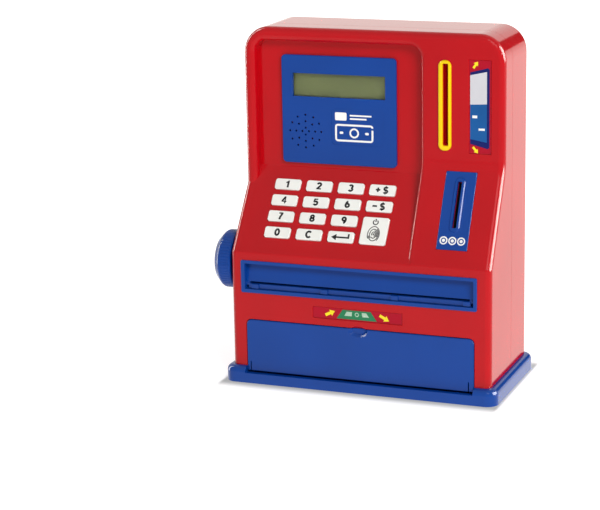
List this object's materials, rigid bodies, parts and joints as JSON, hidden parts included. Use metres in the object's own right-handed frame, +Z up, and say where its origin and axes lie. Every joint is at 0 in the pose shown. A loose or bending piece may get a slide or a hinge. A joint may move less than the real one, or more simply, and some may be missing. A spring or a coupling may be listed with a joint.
{
  "type": "toy atm savings bank",
  "caption": "Toy cash machine money box with a sloping key pad, display, bill roller feed, card and coin slots and a drop-down cash door.",
  "frame": {"origin": "on the ground at the centre of the base underside", "axes": "+X to the viewer's right, +Y to the back, +Z up"},
  "size_m": [0.206, 0.099, 0.2438],
  "materials": {
    "blue_plastic": "glossy moulded ABS",
    "cell_jacket": "printed jacket",
    "circuit_board": "green solder mask",
    "clear_window": "clear polished window",
    "contact_metal": "plated spring metal",
    "dark_plastic": "plain moulded plastic",
    "grey_rubber": "matt rubber",
    "lcd": "reflective segment display",
    "natural_plastic": "plain moulded plastic",
    "printed_label": "printed vinyl",
    "red_plastic": "glossy moulded ABS",
    "speaker_metal": "black painted frame",
    "steel": "zinc plated",
    "white_plastic": "satin moulded caps with printed symbols",
    "yellow_plastic": "glossy moulded ABS"
  },
  "bodies": {
    "housing": {"base_plate": "blue_plastic", "base_screws": "steel", "battery_box": "red_plastic", "battery_cells": "cell_jacket", "battery_contacts": "contact_metal", "bill_guide": "dark_plastic", "bill_label": "printed_label", "bill_slot_bezel": "blue_plastic", "board_screws": "steel", "card_guide": "red_plastic", "card_label": "printed_label", "card_slot_bezel": "yellow_plastic", "card_switch": "dark_plastic", "coin_chute": "dark_plastic", "coin_slot_plate": "blue_plastic", "coin_switch": "dark_plastic", "display_lens": "clear_window", "display_panel": "blue_plastic", "feed_bush_left": "natural_plastic", "feed_bush_right": "natural_plastic", "front_shell": "red_plastic", "guide_screws": "steel", "housing_screws": "steel", "keypad_board": "circuit_board", "keypad_membrane": "grey_rubber", "keypad_ribbon": "dark_plastic", "keypad_screws": "steel", "lcd_module": "lcd", "main_board": "circuit_board", "rear_shell": "red_plastic", "speaker": "speaker_metal"},
    "feed_roller_unit": {"feed_knob": "blue_plastic", "feed_shaft": "steel", "feed_rollers": "grey_rubber"},
    "idler_unit": {"idler_shaft": "steel", "idler_rollers": "grey_rubber"},
    "door": {"cash_door": "blue_plastic"},
    "card_sensor": {"card_lever": "dark_plastic"},
    "coin_sensor": {"coin_lever": "dark_plastic"},
    "battery_cover": {"battery_door": "red_plastic", "battery_door_screw": "steel"},
    "button_0": {"key_0": "white_plastic"},
    "button_1": {"key_1": "white_plastic"},
    "button_2": {"key_2": "white_plastic"},
    "button_3": {"key_3": "white_plastic"},
    "button_4": {"key_4": "white_plastic"},
    "button_5": {"key_5": "white_plastic"},
    "button_6": {"key_6": "white_plastic"},
    "button_7": {"key_7": "white_plastic"},
    "button_8": {"key_8": "white_plastic"},
    "button_9": {"key_9": "white_plastic"},
    "button_add": {"key_add": "white_plastic"},
    "button_clear": {"key_clear": "white_plastic"},
    "button_enter": {"key_enter": "white_plastic"},
    "button_power": {"key_power": "white_plastic"},
    "button_subtract": {"key_subtract": "white_plastic"}
  },
  "joints": [
    {"name": "press_0", "type": "slide", "parent": "housing", "child": "button_0", "axis": [0, 0.8049, -0.5934], "range_m": [0, 0.001], "stiffness_N_per_m": 400},
    {"name": "press_1", "type": "slide", "parent": "housing", "child": "button_1", "axis": [0, 0.8049, -0.5934], "range_m": [0, 0.001], "stiffness_N_per_m": 400},
    {"name": "press_2", "type": "slide", "parent": "housing", "child": "button_2", "axis": [0, 0.8049, -0.5934], "range_m": [0, 0.001], "stiffness_N_per_m": 400},
    {"name": "press_3", "type": "slide", "parent": "housing", "child": "button_3", "axis": [0, 0.8049, -0.5934], "range_m": [0, 0.001], "stiffness_N_per_m": 400},
    {"name": "press_4", "type": "slide", "parent": "housing", "child": "button_4", "axis": [0, 0.8049, -0.5934], "range_m": [0, 0.001], "stiffness_N_per_m": 400},
    {"name": "press_5", "type": "slide", "parent": "housing", "child": "button_5", "axis": [0, 0.8049, -0.5934], "range_m": [0, 0.001], "stiffness_N_per_m": 400},
    {"name": "press_6", "type": "slide", "parent": "housing", "child": "button_6", "axis": [0, 0.8049, -0.5934], "range_m": [0, 0.001], "stiffness_N_per_m": 400},
    {"name": "press_7", "type": "slide", "parent": "housing", "child": "button_7", "axis": [0, 0.8049, -0.5934], "range_m": [0, 0.001], "stiffness_N_per_m": 400},
    {"name": "press_8", "type": "slide", "parent": "housing", "child": "button_8", "axis": [0, 0.8049, -0.5934], "range_m": [0, 0.001], "stiffness_N_per_m": 400},
    {"name": "press_9", "type": "slide", "parent": "housing", "child": "button_9", "axis": [0, 0.8049, -0.5934], "range_m": [0, 0.001], "stiffness_N_per_m": 400},
    {"name": "press_add", "type": "slide", "parent": "housing", "child": "button_add", "axis": [0, 0.8049, -0.5934], "range_m": [0, 0.001], "stiffness_N_per_m": 400},
    {"name": "press_clear", "type": "slide", "parent": "housing", "child": "button_clear", "axis": [0, 0.8049, -0.5934], "range_m": [0, 0.001], "stiffness_N_per_m": 400},
    {"name": "press_enter", "type": "slide", "parent": "housing", "child": "button_enter", "axis": [0, 0.8049, -0.5934], "range_m": [0, 0.001], "stiffness_N_per_m": 400},
    {"name": "press_power", "type": "slide", "parent": "housing", "child": "button_power", "axis": [0, 0.8049, -0.5934], "range_m": [0, 0.001], "stiffness_N_per_m": 400},
    {"name": "press_subtract", "type": "slide", "parent": "housing", "child": "button_subtract", "axis": [0, 0.8049, -0.5934], "range_m": [0, 0.001], "stiffness_N_per_m": 400},
    {"name": "feed_turn", "type": "hinge", "parent": "housing", "child": "feed_roller_unit", "pos_m": [0, -0.0225, 0.0815], "axis": [1, 0, 0], "continuous": true},
    {"name": "idler_turn", "type": "hinge", "parent": "housing", "child": "idler_unit", "pos_m": [0, -0.0225, 0.0667], "axis": [1, 0, 0], "continuous": true},
    {"name": "door_swing", "type": "hinge", "parent": "housing", "child": "door", "pos_m": [0, -0.0434, 0.0092], "axis": [1, 0, 0], "range_deg": [0, 90]},
    {"name": "card_lever_swing", "type": "hinge", "parent": "housing", "child": "card_sensor", "pos_m": [0.05255, 0.029, 0.212], "axis": [1, 0, 0], "range_deg": [0, 15], "stiffness_Nm_per_rad": 0.002},
    {"name": "coin_lever_swing", "type": "hinge", "parent": "housing", "child": "coin_sensor", "pos_m": [0.0643, 0.0295, 0.1], "axis": [1, 0, 0], "range_deg": [0, 30], "stiffness_Nm_per_rad": 0.002},
    {"name": "battery_cover_off", "type": "slide", "parent": "housing", "child": "battery_cover", "axis": [0, 1, 0], "range_m": [0, 0.025]}
  ],
  "couplings": [
    {"joint": "idler_turn", "follows": "feed_turn", "ratio": -2.2222}
  ]
}
